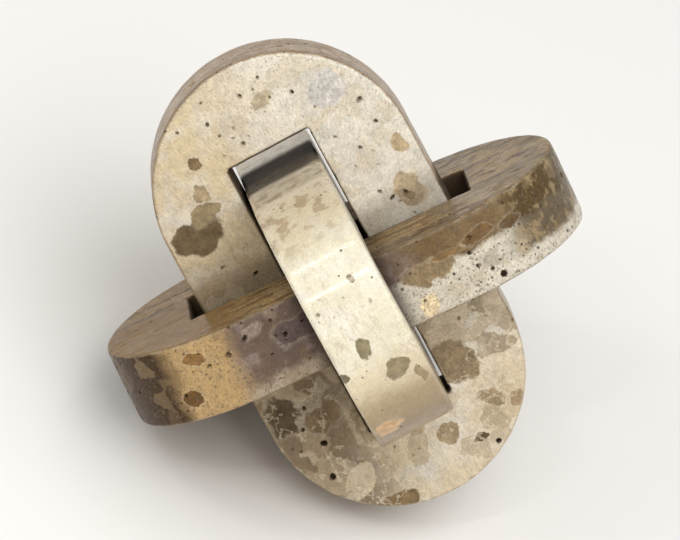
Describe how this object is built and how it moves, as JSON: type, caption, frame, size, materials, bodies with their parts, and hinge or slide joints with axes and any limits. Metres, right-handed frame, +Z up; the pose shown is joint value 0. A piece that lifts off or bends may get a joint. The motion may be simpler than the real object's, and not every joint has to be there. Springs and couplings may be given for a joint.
{
  "type": "interlocked stone ring knot",
  "caption": "Decorative knot of flat slotted stone rings, each passing through the slot of the next, loose in each other and standing on one end of each ring.",
  "frame": {"origin": "on the floor, under the middle of the knot's box, as it stands on one end of each ring", "axes": "+Z up, +Y the level direction of the length that the cross ring has when it doesn't lean, +X to its right"},
  "size_m": [0.105, 0.1118, 0.096],
  "materials": {
    "upright_travertine": "polished cream travertine with grey-brown clasts",
    "level_travertine": "polished brown travertine with dark bands",
    "cross_travertine": "polished ivory travertine",
    "epoxy": "stone-tinted epoxy film"
  },
  "bodies": {
    "upright_ring": {"upright_ring": "upright_travertine"},
    "level_ring": {"level_ring": "level_travertine"},
    "cross_ring": {"cross_ring_front_half": "cross_travertine", "cross_ring_back_half": "cross_travertine", "cross_ring_upper_glue": "epoxy", "cross_ring_lower_glue": "epoxy"}
  },
  "joints": [
    {"name": "level_ring_slide", "type": "slide", "parent": "upright_ring", "child": "level_ring", "axis": [0.732, 0.3872, 0.5606], "range_m": [-0.00373, 0.00228]},
    {"name": "cross_ring_slide", "type": "slide", "parent": "upright_ring", "child": "cross_ring", "axis": [-0.0493, 0.8199, -0.5703], "range_m": [-0.00043, 0.00557]}
  ]
}
